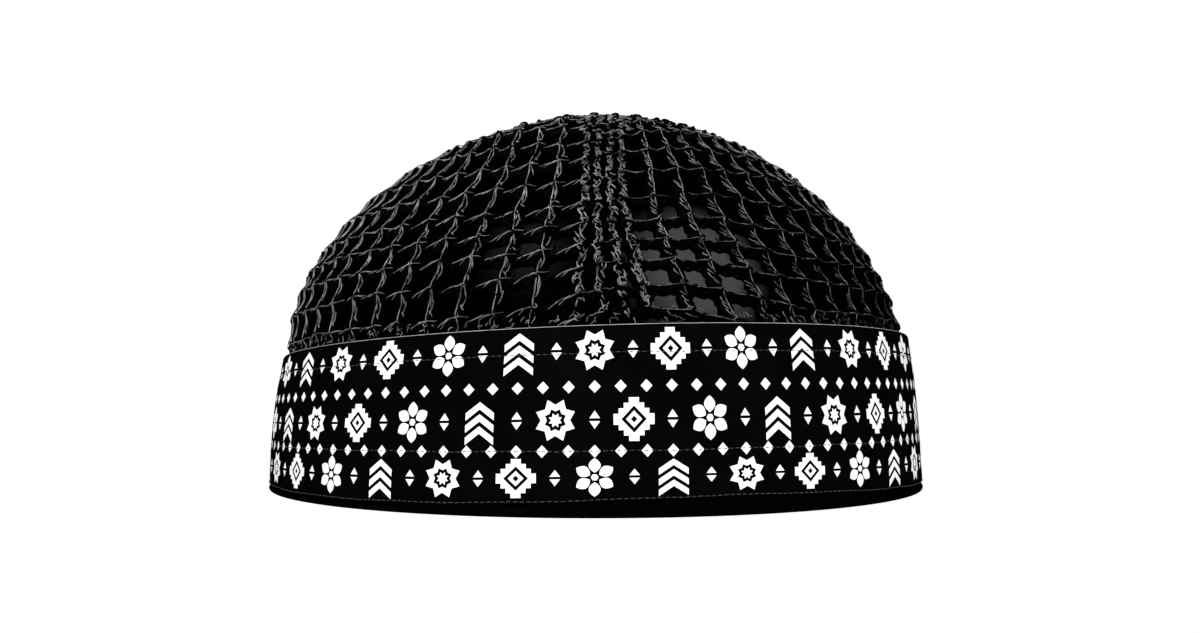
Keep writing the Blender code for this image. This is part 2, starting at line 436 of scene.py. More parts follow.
def cloth_material(name, dark, light, roughness, specular, threads_per_metre, bump):
    """A woven cloth, with the bump of two crossed sets of threads."""
    material, nodes, links, shader = new_material(name, roughness, specular)
    place = nodes.new("ShaderNodeUVMap")
    place.uv_map = "cloth"
    crossed = nodes.new("ShaderNodeMath")
    crossed.operation = "MAXIMUM"
    for i, direction in enumerate(("X", "Y")):
        wave = nodes.new("ShaderNodeTexWave")
        wave.bands_direction = direction
        set_inputs(wave, {"Scale": threads_per_metre, "Distortion": 0.6, "Detail": 1.0})
        links.new(place.outputs["UV"], wave.inputs["Vector"])
        links.new(wave.outputs["Fac"], crossed.inputs[i])
    raised(nodes, links, crossed.outputs[0], bump, WEAVE_HEIGHT, shader)
    varied(nodes, links, place.outputs["UV"], CLOTH_PATCHES, CLOTH_DETAIL, dark, light, shader)
    return material


def yarn_material(name, dark, light, roughness, specular):
    """Twisted yarn, with the bump of fine fibres."""
    material, nodes, links, shader = new_material(name, roughness, specular)
    place = nodes.new("ShaderNodeTexCoord").outputs["Object"]
    fibres = noise_texture(nodes, links, place, YARN_FIBRES, YARN_DETAIL)
    raised(nodes, links, fibres, FIBRE_BUMP, FIBRE_HEIGHT, shader)
    varied(nodes, links, place, YARN_PATCHES, YARN_DETAIL, dark, light, shader)
    return material


# The dark and the light colour, roughness, specular, threads per metre and bump of each cloth
CLOTHS = {
    "band_black": ((0.0010, 0.0010, 0.0011), (0.0016, 0.0016, 0.0017), 0.9, 0.0, 900.0, 0.35),
    "facing_black": ((0.0004, 0.0004, 0.0004), (0.0008, 0.0008, 0.0008), 0.9, 0.0, 900.0, 0.35),
    "lining_black": ((0.0185, 0.0185, 0.0195), (0.0215, 0.0215, 0.0225), 0.6, 0.0, 2400.0, 0.1),
    "print_white": ((0.80, 0.80, 0.79), (0.86, 0.86, 0.85), 0.8, 0.2, 900.0, 0.2),
}
# The dark and the light colour, roughness and specular of each yarn
YARNS = {
    "yarn_body": ((0.0004, 0.0004, 0.0005), (0.0014, 0.0014, 0.0015), 0.7, 0.02),
    # A light grey yarn paints the highlights of the black yarn; its noise varies how bright the painted
    # highlights are
    "yarn_painted_highlight": ((0.05, 0.05, 0.052), (0.42, 0.42, 0.428), 0.55, 0.3),
    "stitch_thread": ((0.035, 0.035, 0.035), (0.06, 0.06, 0.06), 0.7, 0.1),
    # A light grey thread paints the highlight along the band's top fold edge
    "fold_edge_highlight": ((0.26, 0.26, 0.26), (0.42, 0.42, 0.42), 0.7, 0.1),
}
looks = {name: cloth_material(name, *values) for name, values in CLOTHS.items()}
looks |= {name: yarn_material(name, *values) for name, values in YARNS.items()}


# The band and its facing

BAND_STEPS = 360
BAND_LEVELS = 44
FACING_LEVELS = 16
FACING_INNER_LEVELS = 12
FOLD_STEPS = 8


def turned_cloth(name, line):
    """A cloth wall with a closed line of (radius, height) as its cross-section."""
    azimuth = all_round(BAND_STEPS)
    length = np.concatenate([[0], np.cumsum(np.linalg.norm(np.diff(line, axis=0), axis=1))])
    radius, height = line[:, :1], line[:, 1:]
    height, azimuth = np.broadcast_arrays(height, azimuth)
    points = stand(radius + cloth_wave(azimuth, height), height, azimuth)
    uv = np.stack(np.broadcast_arrays(azimuth * RIM_RADIUS, length[:, None]), axis=-1)
    return mesh_object(name, points, [grid_faces(len(line), BAND_STEPS)], uv)


def upright(heights, inset):
    """A line of (radius, height) at a distance inside the band's outer face."""
    return np.stack([band_radius(heights) - inset, heights], axis=-1)


def half_round(radius, height, size, start, end):
    turn = np.linspace(start, end, FOLD_STEPS)
    return np.stack([radius + size * np.cos(turn), height + size * np.sin(turn)], axis=-1)


def make_band():
    """The printed band, with a rounded fold at its top and a rounded lower edge."""
    half = BAND_WALL / 2
    low, high = BAND_BOTTOM + half, BAND_HEIGHT - half
    outer = upright(np.linspace(low, high, BAND_LEVELS), 0)
    inner = upright(np.linspace(high, low, BAND_LEVELS // 2), BAND_WALL)
    fold = half_round(band_radius(high) - half, high, half, 0, pi)
    hem = half_round(band_radius(low) - half, low, half, -pi, 0)
    band = turned_cloth("band_cloth", np.concatenate([hem[:-1], outer, fold[1:-1], inner[:-1]]))
    dress(band, "band_black", "printed_cotton", "band")


def make_facing():
    """The plain facing, whose turned edge shows as a black strip below the print."""
    inset = BAND_WALL + CLEARANCE
    half = LIP_HEIGHT / 2
    lip = half_round(RIM_RADIUS - half, half, half, -pi / 2, pi / 2)
    outer = upright(np.linspace(LIP_HEIGHT, FACING_HEIGHT, FACING_LEVELS), inset)
    inner = upright(np.linspace(FACING_HEIGHT, 0, FACING_INNER_LEVELS), inset + FACING_WALL)
    facing = turned_cloth("facing_cloth", np.concatenate([lip, outer, inner]))
    dress(facing, "facing_black", "plain_cotton", "band_facing")


STITCH = 1.15 * MM
STITCH_GAP = 0.3 * MM
STITCH_WIDTH = 0.21 * MM
STITCH_LIFT = 0.09 * MM
STITCH_DIP = 1.6
STITCH_WAVER = 0.08 * MM
STITCH_WAVES = 23
STITCH_SCATTER = 0.04
STITCH_POINTS = 5
THREAD_SIDES = 4
# The light grey cord that paints the highlight along the edge of the band's top fold
FOLD_CORD_DROP = 0.25 * MM
FOLD_CORD_INSET = 0.27 * MM
FOLD_CORD_RADIUS = 0.12 * MM
FOLD_CORD_SIDES = 6


def band_out(azimuth):
    return np.stack([np.sin(azimuth), -np.cos(azimuth), 0 * azimuth], axis=-1)


def stitch_row(level):
    """A line of separate stitches round the band, whose ends dip into the cloth."""
    count = int(round(TAU * RIM_RADIUS / (STITCH + STITCH_GAP)))
    along = np.linspace(-0.5, 0.5, STITCH_POINTS)
    azimuth = (np.arange(count)[:, None] + 0.5) * TAU / count + along * STITCH / RIM_RADIUS
    lift = STITCH_LIFT * (1 - STITCH_DIP * (2 * np.abs(along)) ** 4)
    scatter = random.uniform(-STITCH_SCATTER, STITCH_SCATTER, (count, 1)) * MM
    waver = STITCH_WAVER * np.sin(STITCH_WAVES * azimuth) + scatter
    points = on_band(azimuth, level + waver, lift)
    radius = STITCH_WIDTH / 2 * (1 - 0.5 * (2 * np.abs(along)) ** 3)
    return points, band_out(azimuth), radius, THREAD_SIDES, False


def make_stitches():
    """The thread of the sewn lines: two through the print and one along the hem."""
    bundles = [stitch_row(level) for level in STITCH_LEVELS]
    dress(strand_object("band_stitches", bundles), "stitch_thread", "printed_cotton")


def make_fold_highlight():
    """A thin light grey cord along the band's top fold: a painted highlight of the fold's edge."""
    azimuth = all_round(BAND_STEPS)
    points = on_band(azimuth, BAND_HEIGHT - FOLD_CORD_DROP + 0 * azimuth, -FOLD_CORD_INSET)
    cord = (points, band_out(azimuth), FOLD_CORD_RADIUS, FOLD_CORD_SIDES, True)
    dress(strand_object("band_fold_highlight", [cord]), "fold_edge_highlight", "printed_cotton")


# The print: motifs of straight lines and petals, in rows that are offset by half a step.
# The sizes of the motifs are in millimetres

STAR_RINGS = [(4.4, 3.1), (2.4, 1.8), (1.5, 0.9)]
STAIRS_SIZE = 4.3
STAIRS = 4
DIAMOND_RINGS = [2.7, 1.7, 0.7]
PETALS = 6
PETAL_LENGTH = 3.3
PETAL_WIDTH = 2.5
PETAL_OFFSET = 1.1
PETAL_POINTS = 9
PETAL_POWER = 0.8
FLOWER_MIDDLE = 0.8
CHEVRON_PLACES = [-2.6, -0.1, 2.4]
CHEVRON = [(-3.2, -0.7), (0.0, 1.6), (3.2, -0.7)]
CHEVRON_THICKNESS = 1.5
TRIANGLE = [(-1.1, 0.3), (0.0, 1.8), (1.1, 0.3)]
SMALL_DIAMOND = 1.25


def polygon(count, radius, turn=0.0, inner=None):
    """Corners of a regular polygon, or of a star with an inner radius."""
    corners = []
    for i in range(count):
        angle = TAU * i / count + turn
        corners.append((radius * cos(angle), radius * sin(angle)))
        if inner:
            angle += pi / count
            corners.append((inner * cos(angle), inner * sin(angle)))
    return corners


def turned(corners, turn):
    c, s = cos(turn), sin(turn)
    return [(c * u - s * v, s * u + c * v) for u, v in corners]


def petal(length, width, offset, turn):
    """A leaf shape that starts at an offset from the middle and points along a direction."""
    steps = np.linspace(0, 1, PETAL_POINTS)
    side = [(offset + length * t, width / 2 * sin(pi * t) ** PETAL_POWER) for t in steps]
    return turned(side + [(x, -y) for x, y in side[-2:0:-1]], turn)


def stepped_diamond(size, steps):
    step = size / steps
    quarter = []
    for i in range(steps):
        quarter.append(((steps - i) * step, i * step))
        quarter.append(((steps - i) * step, (i + 1) * step))
    corners = []
    for i in range(4):
        corners += turned(quarter, i * pi / 2)
    return corners


def star_motif():
    """An eight-pointed star with a smaller one cut out of it, round a third."""
    return [polygon(8, outer, TAU / 16, inner) for outer, inner in STAR_RINGS]


def diamond_motif():
    return [stepped_diamond(STAIRS_SIZE, STAIRS)] + [polygon(4, size) for size in DIAMOND_RINGS]


def flower_motif():
    turns = [TAU * (i + 0.5) / PETALS for i in range(PETALS)]
    petals = [petal(PETAL_LENGTH, PETAL_WIDTH, PETAL_OFFSET, turn) for turn in turns]
    return petals + [polygon(PETALS, FLOWER_MIDDLE)]


def chevron_motif():
    lower = [(x, y - CHEVRON_THICKNESS) for x, y in reversed(CHEVRON)]
    return [[(x, y + place) for x, y in CHEVRON + lower] for place in CHEVRON_PLACES]


def triangle_pair():
    """Two triangles that point away from each other."""
    left, tip, right = [(x, -y) for x, y in TRIANGLE]
    return [[left, right, tip], TRIANGLE]


def small_diamond():
    return [polygon(4, SMALL_DIAMOND)]


PRINT_THICKNESS = 0.05 * MM
PRINT_SLICE = 1 * MM
PRINT_RISE = 0.6
PRINT_SHARP_ANGLE = radians(40)
MERGE_DISTANCE = 0.001 * MM


def motif_points(outlines):
    """Points (across, up, out) and triangles of a motif, cut fine enough to bend round the band."""
    curve = bpy.data.curves.new("motif", "CURVE")
    curve.dimensions = "2D"
    curve.fill_mode = "BOTH"
    curve.extrude = PRINT_THICKNESS / 2
    for outline in outlines:
        spline = curve.splines.new("POLY")
        spline.points.add(len(outline) - 1)
        for point, (x, y) in zip(spline.points, outline):
            point.co = (x * MM, y * MM, 0.0, 1.0)
        spline.use_cyclic_u = True
    holder = new_object("motif", curve)
    graph = bpy.context.evaluated_depsgraph_get()
    mesh = bpy.data.meshes.new_from_object(holder.evaluated_get(graph))
    work = bmesh.new()
    work.from_mesh(mesh)
    bmesh.ops.remove_doubles(work, verts=work.verts, dist=MERGE_DISTANCE)
    reach = max(abs(v.co.x) for v in work.verts)
    cuts = int(reach / PRINT_SLICE)
    for i in range(-cuts, cuts + 1):
        everything = work.verts[:] + work.edges[:] + work.faces[:]
        bmesh.ops.bisect_plane(work, geom=everything, plane_co=(i * PRINT_SLICE, 0, 0), plane_no=(1, 0, 0))
    bmesh.ops.triangulate(work, faces=work.faces[:])
    bmesh.ops.recalc_face_normals(work, faces=work.faces[:])
    work.verts.index_update()
    points = np.array([v.co[:] for v in work.verts])
    faces = np.array([[v.index for v in face.verts] for face in work.faces])
    work.free()
    bpy.data.objects.remove(holder)
    bpy.data.curves.remove(curve)
    bpy.data.meshes.remove(mesh)
    return points, faces


def printed(name, placed):
    """One object of all the places of some motifs, laid on the band's cloth."""
    parts = []
    for (base, triangles), azimuth, height in placed:
        local_height = height + base[:, 1]
        local_azimuth = azimuth + base[:, 0] / band_radius(local_height)
        out = base[:, 2] + PRINT_THICKNESS * PRINT_RISE
        parts.append((on_band(local_azimuth, local_height, out), [triangles]))
    made = joined(name, parts)
    made.data.set_sharp_from_angle(angle=PRINT_SHARP_ANGLE)
    dress(made, "print_white", "printed_cotton")


MOTIF_COLUMNS = 36
MOTIF_LEVELS = [33.4 * MM, 19.4 * MM, 7.4 * MM]
DIVIDER_LEVELS = [26 * MM, 13.2 * MM]
DIVIDER_COUNT = 108


def make_print():
    """The white print: three rows of motifs with small pairs between, and two rows of diamonds."""
    motifs = (star_motif, diamond_motif, flower_motif, chevron_motif)
    shapes = [motif_points(outlines()) for outlines in motifs]
    pair = motif_points(triangle_pair())
    diamond = motif_points(small_diamond())
    step = TAU / MOTIF_COLUMNS
    large, small = [], []
    for row, level in enumerate(MOTIF_LEVELS):
        offset = 0.5 * (row % 2)
        for column in range(MOTIF_COLUMNS):
            shape = shapes[(column + row) % len(shapes)]
            large.append((shape, (column + offset) * step, level))
            small.append((pair, (column + offset + 0.5) * step, level))
    for level in DIVIDER_LEVELS:
        for i in range(DIVIDER_COUNT):
            small.append((diamond, i * TAU / DIVIDER_COUNT, level))
    printed("print_motifs", large)
    printed("print_small_marks", small)


# The lining

LINING_STEPS = 180
LINING_LEVELS = 56
LINING_FOLD = 0.25 * MM
LINING_FOLDS = 9
LINING_FOLD_TURN = 3
LINING_TOP_GAP = 0.8 * MM
LINING_INSET = 0.3 * MM
LINING_UV_RADIUS = 0.06


def make_lining():
    """The smooth inner cap, with a few soft folds, seen through the net."""
    azimuth = all_round(LINING_STEPS)
    arcs = np.linspace(-TUCK_DEPTH, CROWN_ARC - LINING_TOP_GAP, LINING_LEVELS)[:, None]
    share = np.clip(arcs / CROWN_ARC, 0, 1)
    fold = LINING_FOLD * np.sin(LINING_FOLDS * azimuth + LINING_FOLD_TURN * share) * share * (1 - share) * 4
    depths = [NET_WALL + CLEARANCE + inset for inset in (LINING_INSET, LINING_WALL)]
    arcs, azimuth = np.broadcast_arrays(arcs, azimuth)
    outer, inner = (on_crown(arcs, azimuth, fold - depth) for depth in depths)
    points = np.concatenate([outer, inner[::-1]]).reshape(-1, 3)
    faces = grid_faces(2 * LINING_LEVELS, LINING_STEPS)
    top_row = (LINING_LEVELS - 1) * LINING_STEPS
    faces = faces[(faces[:, 0] < top_row) | (faces[:, 0] >= top_row + LINING_STEPS)]
    tops = [on_crown(np.array(CROWN_ARC), np.array(0.0), -depth) for depth in depths]
    points = np.concatenate([points, tops])
    ring = np.arange(LINING_STEPS)
    fans = []
    for row, centre, order in ((LINING_LEVELS - 1, -2, 1), (LINING_LEVELS, -1, -1)):
        edge = row * LINING_STEPS + ring
        fan = [edge, np.roll(edge, -1), np.full(LINING_STEPS, len(points) + centre)]
        fans.append(np.stack(fan[::order], axis=-1))
    uv = np.stack([azimuth * LINING_UV_RADIUS, arcs], axis=-1)
    uv = np.concatenate([uv.reshape(-1, 2), uv[::-1].reshape(-1, 2), np.zeros((2, 2))])
    lining = mesh_object("lining_cap", points, [faces, np.concatenate(fans)], uv)
    dress(lining, "lining_black", "lining_satin", "lining_wall", "lining_top")


# The crochet: its nodes, and strands laid between them. Limits of random sizes are in millimetres

STRAND = 0.42 * MM
THREAD = 0.17 * MM
BODY_DEPTH = 1.1 * MM
BAR_DROP = 1 * MM


def sizes(low, high, count):
    return random.uniform(low, high, count) * MM


def flat(*ends):
    return tuple(values.ravel() for values in ends)


class Net:
    """The nodes of one zone of the net: an arc length and an azimuth for each round and wale."""

    def __init__(self, rounds, wales, looseness):
        plain = wale_azimuth(wales[None], rounds[:, None])
        arc = round_arc(rounds[:, None], plain)
        self.arc = arc + random.uniform(-looseness, looseness, arc.shape)
        across = random.uniform(-looseness, looseness, arc.shape)
        self.azimuth = wale_azimuth(wales[None], arc) + across / crown_radius(arc)

    def nodes(self):
        return flat(self.arc, self.azimuth, self.arc, self.azimuth)

    def posts(self):
        """The ends of every post: its upper node, then its lower one."""
        return flat(self.arc[1:], self.azimuth[1:], self.arc[:-1], self.azimuth[:-1])

    def bars(self):
        """The ends of every bar of the rounds, from one wale to the next on its right."""
        next_azimuth = np.roll(self.azimuth, -1, axis=1)
        next_azimuth[:, -1] += TAU
        return flat(self.arc, self.azimuth, np.roll(self.arc, -1, axis=1), next_azimuth)


def joins(fine, wide):
    """The ends of the posts that lead two fine wales into each wide one."""
    pair = np.arange(fine.arc.shape[1]) // 2
    return wide.arc[0][pair], wide.azimuth[0][pair], fine.arc[-1], fine.azimuth[-1]


def picked(ends, mask):
    return tuple(values[mask] for values in ends)


def gathered(*groups):
    return tuple(np.concatenate(values) for values in zip(*groups))


def laid(ends, share, across, along, out, radius, sides):
    """Strands between pairs of nodes, moved across, along and out from the straight way between them.

    ends holds the arc length and azimuth of each strand's first node, and then those of its last.
    """
    first_arc, first_azimuth, last_arc, last_azimuth = (values[:, None] for values in ends)
    arc = first_arc + (last_arc - first_arc) * share + along
    azimuth = first_azimuth + (last_azimuth - first_azimuth) * share + across / crown_radius(arc)
    arc, azimuth, out = np.broadcast_arrays(arc, azimuth, out)
    return on_crown(arc, azimuth, out), crown_out(arc, azimuth), radius, sides, False


def lowered(ends, drop):
    return ends[0] - drop, ends[1], ends[2] - drop, ends[3]


def spread(ends, low, high):
    return random.uniform(low, high, (len(ends[0]), 1))


def front_side(ends):
    """Which side the painted highlights lie on at each strand, mirrored at the rib as the light falls: plus
    one left of the rib, minus one right of it.
    """
    return np.where(angle_from(ends[1], RIB_CENTRE) < 0, 1.0, -1.0)[:, None]


def taper(share, least):
    """How thick a strand is along its way, thinner at both ends."""
    return least + (1 - least) * np.clip(np.sin(pi * share), 0, 1) ** 0.5


BACK_MIX = radians(50)
FINE_LOOSENESS = 0.45 * MM
WIDE_LOOSENESS = 0.4 * MM
TOP_START = 84 * MM
RIB_EDGE = 0.25
FINE_WALES = np.arange(WALES) - (WALES - 1) / 2
WIDE_WALES = (FINE_WALES[0::2] + FINE_WALES[1::2]) / 2
fine = Net(FINE_ROUNDS, FINE_WALES, FINE_LOOSENESS)
wide = Net(WIDE_ROUNDS, WIDE_WALES, WIDE_LOOSENESS)

POSTS = gathered(fine.posts(), joins(fine, wide), wide.posts())
BARS = gathered(fine.bars(), picked(wide.bars(), slice(0, 2 * len(WIDE_WALES))))
NODES = gathered(fine.nodes(), wide.nodes())
TOP_WAYS = picked(BARS, BARS[0] > TOP_START)


def in_rib(ends):
    """Which strands belong to the front rib, by their middle."""
    middle = ends[1] + angle_from(ends[3], ends[1]) / 2
    return np.abs(angle_from(middle, RIB_CENTRE)) < (RIB_HALF + RIB_EDGE) * rib_pitch(ends[0])


def left_highlight_kind(ends):
    """Which strands take the left side's pattern of painted highlights: all left of the rib, and by chance
    some at the back.
    """
    beside = angle_from(ends[1], RIB_CENTRE)
    mixed = np.clip((pi - np.abs(beside)) / BACK_MIX, 0, 1)
    return random.random(len(beside)) < 0.5 - 0.5 * np.sign(beside) * mixed


def near_rib(ends):
    """How near each strand is to the rib, from one to nought."""
    return bell(angle_from(ends[1], RIB_CENTRE), LOOP_REACH)[:, None]


# The crochet's dark bodies

BODY_SIDES = 5
PLY_POINTS = 7
FILLET_POINTS = 5
FILLET_RADIUS = 0.5 * MM
STROKE_POINTS = 6
WRAPS = 700
WRAP_RADIUS = 0.34 * MM
KNOB_LIFT = 0.7 * MM
KNOB_DEPTH = 0.85 * MM
KNOB_DROP = 0.4 * MM
# The yarn is fuller low on the crown and right of the rib: how much, round where and up to which arc
FULLER_BARS = 0.2
FULLER_POSTS = 1.2
FULL_CENTRE = radians(15)
FULL_WIDTH = radians(12)
FULL_END = 40 * MM
FULL_FADE = 18 * MM


def fullness(ends, growth):
    """How much thicker each strand is, for the fuller yarn low on the crown and right of the rib."""
    low = 1 - smooth_step((ends[0] - FULL_END) / FULL_FADE)
    return (1 + growth * low * bell(angle_from(ends[1], FULL_CENTRE), FULL_WIDTH))[:, None]


def plies(ends, turns, across, along, deep, drop, radius, growth):
    """Two strands twisted round the straight way between nodes."""
    share = np.linspace(0, 1, PLY_POINTS)
    start = spread(ends, 0, TAU)
    full = fullness(ends, growth)
    bundles = []
    for i in range(2):
        turn = TAU * (turns * share + i / 2) + start
        out = deep * np.cos(turn) - BODY_DEPTH - (full - 1) * radius
        beside = across * full * np.sin(turn)
        above = along * full * np.sin(turn) - drop
        bundles.append(laid(ends, share, beside, above, out, radius * full, BODY_SIDES))
    return bundles


def corner_fillets(ends):
    """Short thick strands that round the corner of a gap beside each post, below the bar."""
    share = np.linspace(0, 1, FILLET_POINTS)
    across = -front_side(ends) * (0.5 + 2.2 * share**1.4) * MM
    along = -(2.0 + 2.2 * (1 - share) ** 1.6) * MM
    return laid(ends, 0, across, along, -BODY_DEPTH, FILLET_RADIUS, BODY_SIDES)


def curls(turns, lengths, bends, count):
    """Random turns, lengths and bends of strokes, each between its limits."""
    return random.uniform(*turns, count), sizes(*lengths, count), sizes(*bends, count)


def strokes(arc, azimuth, turn, length, bend, out, radius):
    """Short curved strands on the crown: where they are, which way, how long and how bent."""
    share = np.linspace(-0.5, 0.5, STROKE_POINTS)
    straight = length[:, None] * share
    bow = bend[:, None] * (1 - 4 * share**2)
    c, s = np.cos(turn)[:, None], np.sin(turn)[:, None]
    across, along = straight * c - bow * s, straight * s + bow * c
    radius = radius * taper(share + 0.5, 0.5)
    return laid((arc, azimuth, arc, azimuth), 0, across, along, out, radius, THREAD_SIDES)


def dark_wraps(ends, count, drop):
    """Dark strands that wrap over the others, and stand out of the hat's outline."""
    way = random.random(len(ends[0]))
    arc = ends[0] + (ends[2] - ends[0]) * way - drop
    azimuth = ends[1] + (ends[3] - ends[1]) * way
    some = random.choice(len(arc), count, replace=False)
    arc, azimuth = arc[some], azimuth[some]
    azimuth = azimuth + sizes(-0.5, 0.5, count) / crown_radius(arc)
    turn = random.uniform(0, pi, count)
    bend = sizes(-0.6, 0.6, count)
    out = sizes(-0.6, -0.1, (count, 1))
    return strokes(arc, azimuth, turn, sizes(1.6, 2.6, count), bend, out, WRAP_RADIUS)


def node_knobs(ends):
    """A dark knob at each node, which makes the hat's outline uneven."""
    count = len(ends[0])
    turn = random.uniform(0, pi, count)
    length = sizes(2.2, 3.2, count)
    radius = sizes(0.75, 0.9, (count, 1))
    return strokes(ends[0] - KNOB_DROP, ends[1], turn, length, 0 * turn, KNOB_LIFT - KNOB_DEPTH, radius)


def make_bodies():
    """The yarn's nearly black body: the bars of the rounds, the posts, and what joins them."""
    rib = in_rib(POSTS)
    bars = plies(BARS, 1.5, 0, 0.55 * MM, 0.3 * MM, BAR_DROP, 1.1 * STRAND, FULLER_BARS)
    crochet("net_bars", bars, "yarn_body", "crown_net")
    posts = plies(picked(POSTS, ~rib), 1.25, 0.45 * MM, 0, 0.35 * MM, 0, 1.1 * STRAND, FULLER_POSTS)
    posts += plies(picked(POSTS, rib), 1.75, 0.6 * MM, 0, 0.4 * MM, 0, 1.3 * STRAND, 0)
    crochet("net_posts", posts, "yarn_body")
    corners = picked(NODES, ~in_rib(NODES))
    joints = [corner_fillets(corners), node_knobs(NODES)]
    joints += [dark_wraps(POSTS, WRAPS, 0), dark_wraps(BARS, WRAPS, 0.5 * BAR_DROP)]
    joints += [dark_wraps(TOP_WAYS, len(TOP_WAYS[0]), 0) for repeat in range(2)]
    crochet("net_joints", joints, "yarn_body")


# The crochet's painted highlights: light grey threads laid over the black yarn where it would catch the
# light, in patterns that differ left and right of the rib as the light falls. Each row of a pattern is one
# short thread beside the way between two nodes: its thickness, the chance that it is there, and its start
# and end as shares of the way. A post's thread then has its distance to the side at its start and its end,
# and its bow. A bar's thread has how far above the way it starts. Distances are in millimetres, and the
# side is the one that front_side gives, where the painted highlights lie.

# How far off the crown the light grey threads of painted highlight lie
HIGHLIGHT_OUT = -0.2 * MM
TOP_SINK = 0.35 * MM
TOP_SINK_START = 75 * MM
TOP_SINK_LENGTH = 20 * MM
LOOPED_POST = [
    (1.05, 1.0, 0.0, 0.52, 0.0, -0.1, 0.1),
    (1.1, 1.0, 0.43, 1.0, -0.15, 0.0, -0.2),
    (1.05, 0.95, 0.05, 0.44, 0.2, 1.05, 0.15),
    (1.0, 0.9, 0.36, 0.74, 1.05, 0.5, 0.25),
    (0.85, 0.55, 0.66, 0.84, 0.45, 1.6, 0.0),
    (0.9, 0.45, 0.16, 0.55, 0.5, 0.5, -0.25),
]
CURLED_POST = [
    (0.85, 1.0, 0.0, 0.5, 0.1, -0.25, 0.15),
    (0.85, 0.9, 0.45, 1.0, -0.3, 0.0, -0.15),
    (0.8, 0.7, 0.1, 0.34, 0.95, 0.1, 0.25),
    (0.8, 0.8, 0.3, 0.52, 1.15, 0.0, 0.2),
    (0.85, 0.8, 0.48, 0.72, 1.2, 0.05, 0.2),
    (0.8, 0.7, 0.66, 0.9, 1.05, 0.1, 0.15),
    (0.75, 0.4, 0.92, 1.06, -0.6, 0.6, 0.0),
]
LOW_POST = [
    (0.85, 0.9, 0.0, 0.36, 0.0, 0.55, 0.2),
    (0.8, 0.8, 0.12, 0.5, -0.3, -0.6, -0.2),
    (0.8, 0.7, 0.4, 0.72, 0.6, -0.3, 0.25),
]
STRAIGHT_POST = [
    (0.6, 1.0, 0.0, 0.55, 0.0, 0.1, 0.1),
    (0.65, 1.0, 0.47, 1.0, 0.1, 0.0, -0.1),
    (0.6, 0.5, 0.26, 0.44, 1.5, 0.15, 0.1),
    (0.65, 0.8, 0.44, 0.62, 1.9, 0.15, 0.15),
    (0.7, 0.85, 0.58, 0.78, 2.2, 0.15, 0.15),
    (0.6, 0.6, 0.74, 0.9, 1.8, 0.2, 0.1),
]
BARBED_BAR = [
    (0.9, 1.0, 0.34, 0.78, -1.5),
    (0.8, 0.85, 0.56, 0.86, -1.4),
    (1.05, 1.0, 0.68, 1.02, -0.4),
    (0.6, 0.75, 0.0, 0.32, 0.15),
]
LONG_BAR = [
    (0.85, 0.95, 0.02, 0.5, -0.25),
    (0.9, 0.9, 0.36, 0.76, -0.7),
    (0.95, 1.0, 0.62, 1.0, -0.6),
]
THIN_BAR = [
    (0.75, 0.95, 0.0, 0.38, 0.12),
    (0.75, 0.95, 0.32, 0.72, -0.15),
    (0.8, 0.95, 0.66, 1.0, 0.12),
    (0.7, 0.3, 0.4, 0.56, -0.8),
]
FAINT_BAR = [
    (0.55, 0.9, 0.0, 0.4, 0.1),
    (0.5, 0.8, 0.34, 0.7, -0.15),
    (0.6, 0.9, 0.64, 1.0, 0.1),
]
SHARE_JITTER = 0.05
SIDE_JITTER = 0.18
THREAD_TIP = 0.45


def chosen(ends, chance):
    chance = np.broadcast_to(np.asarray(chance, float).reshape(-1), len(ends[0]))
    return picked(ends, random.random(len(ends[0])) < chance)


def threads(ends, pattern):
    """The short tapered light grey threads of a pattern, painted highlights beside each way between two
    nodes.
    """
    share = np.linspace(0, 1, STROKE_POINTS)
    bundles = []
    for thick, chance, start, end, *shape in pattern:
        side_start, side_end, bow, rise = [0, 0, 0, *shape] if len(shape) == 1 else [*shape, 0]
        ways = chosen(ends, chance)
        if not len(ways[0]):
            continue
        side = front_side(ways)
        first = start + spread(ways, -SHARE_JITTER, SHARE_JITTER)
        last = end + spread(ways, -SHARE_JITTER, SHARE_JITTER)
        beside = (side_start + (side_end - side_start) * share) * spread(ways, 0.75, 1.3)
        beside = side * beside + spread(ways, -SIDE_JITTER, SIDE_JITTER)
        beside = beside + side * bow * np.sin(pi * share)
        above = rise * spread(ways, 0.6, 1.3) * (1 - share) ** 1.6
        above = above + 0.08 * np.sin(TAU * (share + spread(ways, 0, 1)))
        way = first + (last - first) * share
        sunk = TOP_SINK * smooth_step((ways[0][:, None] - TOP_SINK_START) / TOP_SINK_LENGTH)
        out = HIGHLIGHT_OUT - sunk + KNOB_LIFT * np.abs(np.cos(pi * way)) ** 3
        radius = THREAD * thick * taper(share, THREAD_TIP)
        bundles.append(laid(ways, way, beside * MM, above * MM, out, radius, THREAD_SIDES))
    return bundles


RIB_STITCH = 1.6 * MM
RIB_SWAY = 0.45 * MM
RIB_SWAY_LENGTH = 9.5 * MM
RIB_SWAY_SHIFT = 1.9
RIB_START = 2.5 * MM
RIB_END = 92 * MM
TOP_LUMPS = 120
EDGE_LOOPS = 400
EDGE_LEAST = 2.2 * MM
LOOP_CHANCE = 0.9
LOOP_REACH = radians(30)
LINK_CHANCE = 0.6
FAINT_DROP = 0.4


def rib_place(arc, wale, beside):
    """The azimuth beside a rope of the rib, which sways from side to side."""
    calm = np.interp(arc, [20 * MM, 60 * MM], [1.0, 0.5])
    sway = RIB_SWAY * calm * np.sin(TAU * arc / RIB_SWAY_LENGTH + RIB_SWAY_SHIFT * wale)
    return wale_azimuth(wale, arc) + (beside + sway) / crown_radius(arc)


